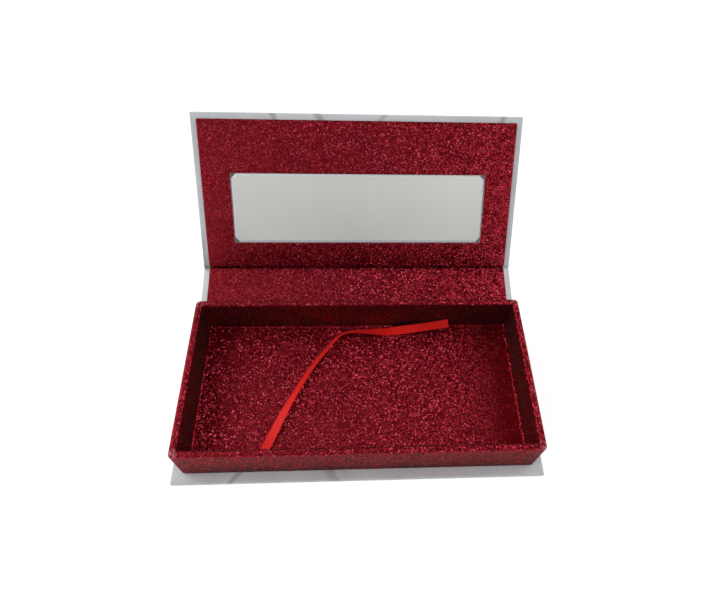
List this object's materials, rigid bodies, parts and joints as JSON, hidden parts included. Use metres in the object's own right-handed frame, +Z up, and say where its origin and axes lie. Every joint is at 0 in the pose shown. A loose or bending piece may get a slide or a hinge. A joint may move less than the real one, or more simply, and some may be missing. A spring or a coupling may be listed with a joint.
{
  "type": "false eyelash case",
  "caption": "Book-style lash case: glitter-papered tray with a pull ribbon on a marble-papered base, folding spine and a lid with a bevelled mirror.",
  "frame": {"origin": "on the underside of the base, below the middle of the tray", "axes": "+Z up, +Y towards the rear crease and the open lid, +X to the right as seen from the front"},
  "size_m": [0.116, 0.1107, 0.0527],
  "materials": {
    "greyboard": "bare grey-brown board",
    "marble_paper": "satin printed paper, white with soft grey-brown veins",
    "glitter_paper": "deep red glitter paper with fine sparkling flakes",
    "kraft_tape": "matt brown gummed tape",
    "satin_ribbon": "red satin ribbon",
    "magnet_metal": "nickel-plated",
    "mirror_glass": "silvered thin glass with a bevelled edge",
    "foam_tape": "white double-sided tape"
  },
  "bodies": {
    "case_base": {"base_board": "greyboard", "base_wrap": "marble_paper", "tray_floor_board": "greyboard", "tray_front_wall": "greyboard", "tray_rear_wall": "greyboard", "tray_left_wall": "greyboard", "tray_right_wall": "greyboard", "tray_corner_stays": "kraft_tape", "tray_wrap": "glitter_paper", "tray_floor_liner": "glitter_paper", "tray_magnets": "magnet_metal", "pull_ribbon": "satin_ribbon"},
    "spine": {"spine_board": "greyboard", "spine_wrap": "marble_paper", "spine_liner": "glitter_paper", "rear_hinge_paper": "marble_paper", "rear_hinge_liner": "glitter_paper"},
    "lid": {"lid_board": "greyboard", "lid_wrap": "marble_paper", "lid_panel_card": "greyboard", "lid_liner": "glitter_paper", "lid_steel_plates": "magnet_metal", "mirror": "mirror_glass", "mirror_tape": "foam_tape", "lid_hinge_paper": "marble_paper", "lid_hinge_liner": "glitter_paper"}
  },
  "joints": [
    {"name": "spine_hinge", "type": "hinge", "parent": "case_base", "child": "spine", "pos_m": [0, 0.02825, 0], "axis": [1, 0, 0], "range_deg": [-14, 76], "deforming": ["rear_hinge_paper", "rear_hinge_liner"]},
    {"name": "lid_hinge", "type": "hinge", "parent": "spine", "child": "lid", "pos_m": [0, 0.04814, 0.00496], "axis": [1, 0, 0], "range_deg": [-40.5, 49.5], "deforming": ["lid_hinge_paper", "lid_hinge_liner"]}
  ]
}
